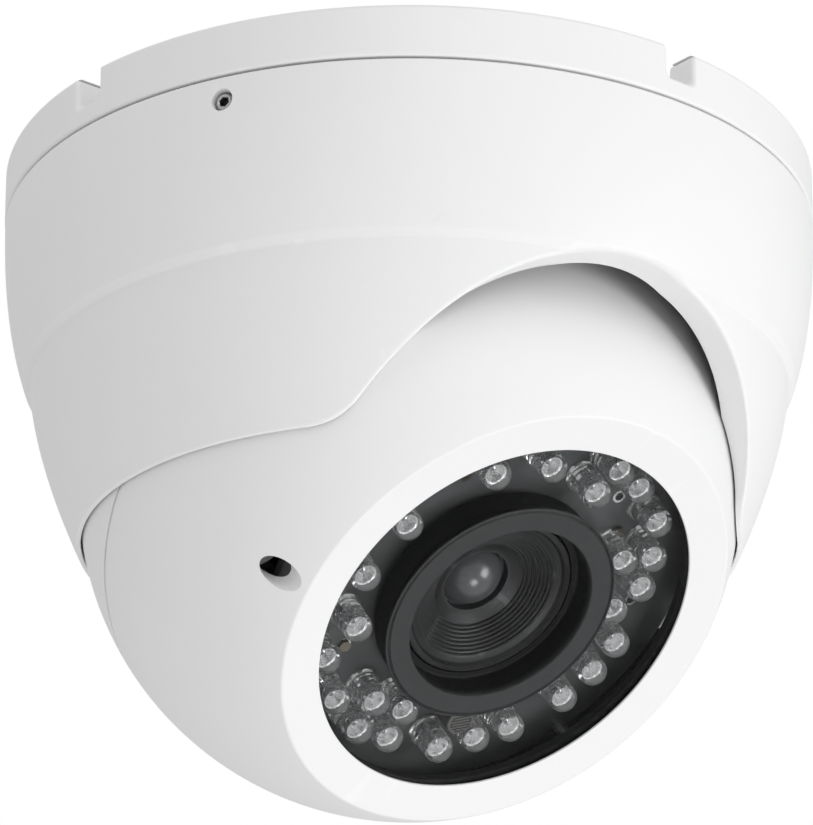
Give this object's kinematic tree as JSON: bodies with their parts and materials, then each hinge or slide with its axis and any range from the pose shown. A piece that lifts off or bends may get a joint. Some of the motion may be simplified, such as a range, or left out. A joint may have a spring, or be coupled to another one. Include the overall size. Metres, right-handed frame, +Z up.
{
  "type": "dome camera",
  "caption": "Ceiling dome security camera: round base, turning cover with a scooped front, and a clamped eyeball with a flat window, infrared lamps and a varifocal lens.",
  "frame": {"origin": "centre of the base's ceiling face", "axes": "+Z up into the ceiling, the camera hangs to -Z; the lens looks towards -Y and down, 37.7 degrees from straight down"},
  "size_m": [0.136, 0.136, 0.1095],
  "materials": {
    "white_paint": "satin white powder coat on die-cast aluminium",
    "black_rubber": "matt black moulded rubber",
    "hood_rubber": "matt black soft rubber",
    "window": "clear flat hardened glass, polished",
    "lens_glass": "coated optical glass",
    "lamp_board": "dark grey solder mask, satin",
    "circuit_board": "green solder mask, satin",
    "sensor_face": "light sensor's resin face",
    "chip": "smooth dark package",
    "black_plastic": "fine matt moulding",
    "black_metal": "matt black anodised",
    "steel": "plain machined",
    "brass": "plain turned"
  },
  "bodies": {
    "base": {"mounting_base": "white_paint", "cable_grommet": "black_rubber", "cover_seal": "black_rubber", "ball_seat": "black_rubber"},
    "cover": {"cover_shell": "white_paint", "set_screw_1": "steel", "set_screw_2": "steel", "set_screw_3": "steel"},
    "rear_half": {"rear_shell": "white_paint", "rear_gland": "black_rubber"},
    "eye": {"front_shell": "white_paint", "shell_seal": "black_rubber", "roll_clamp_ring": "steel", "shell_screw_1": "steel", "shell_screw_2": "steel", "window_glass": "window", "window_gasket": "black_rubber", "led_board": "lamp_board", "light_sensor": "sensor_face", "board_screw_1": "steel", "board_screw_2": "steel", "board_screw_3": "steel", "board_post_1": "brass", "board_post_2": "brass", "board_post_3": "brass", "board_post_4": "brass", "card_spacer_1": "brass", "card_spacer_2": "brass", "card_spacer_3": "brass", "card_spacer_4": "brass", "sensor_board": "circuit_board", "main_board": "circuit_board", "image_sensor": "chip", "lens_mount": "black_plastic", "ir_cut_filter": "lens_glass", "lens_barrel": "black_metal"},
    "focus_ring": {"focus_ring": "black_metal", "focus_lock": "steel"},
    "front_group": {"front_cell": "black_metal", "front_element": "lens_glass", "lens_hood": "hood_rubber"},
    "zoom_ring": {"zoom_ring": "black_metal", "zoom_lock": "steel"},
    "rear_group": {"rear_cell": "black_metal", "rear_element": "lens_glass"}
  },
  "joints": [
    {"name": "cover_turn", "type": "hinge", "parent": "base", "child": "cover", "pos_m": [0, 0, 0], "axis": [0, 0, 1], "range_deg": [-175, 175]},
    {"name": "eye_tilt", "type": "hinge", "parent": "cover", "child": "rear_half", "pos_m": [0, 0, -0.0556], "axis": [-1, 0, 0], "range_deg": [-68, 12]},
    {"name": "eye_level", "type": "hinge", "parent": "rear_half", "child": "eye", "pos_m": [0, 0, -0.0556], "axis": [0, -0.6115, -0.7912], "range_deg": [-90, 90]},
    {"name": "focus_turn", "type": "hinge", "parent": "eye", "child": "focus_ring", "pos_m": [0, 0, -0.0556], "axis": [0, -0.6115, -0.7912], "range_deg": [-76, 15.5]},
    {"name": "focus_slide", "type": "slide", "parent": "eye", "child": "front_group", "axis": [0, -0.6115, -0.7912], "range_m": [-0.001, 0.0002]},
    {"name": "zoom_turn", "type": "hinge", "parent": "eye", "child": "zoom_ring", "pos_m": [0, 0, -0.0556], "axis": [0, -0.6115, -0.7912], "range_deg": [-46, 46]},
    {"name": "zoom_slide", "type": "slide", "parent": "eye", "child": "rear_group", "axis": [0, -0.6115, -0.7912], "range_m": [-0.002, 0.002]}
  ],
  "couplings": [
    {"joint": "focus_turn", "follows": "focus_slide", "rad_per_m": 1300},
    {"joint": "zoom_turn", "follows": "zoom_slide", "rad_per_m": 400}
  ]
}
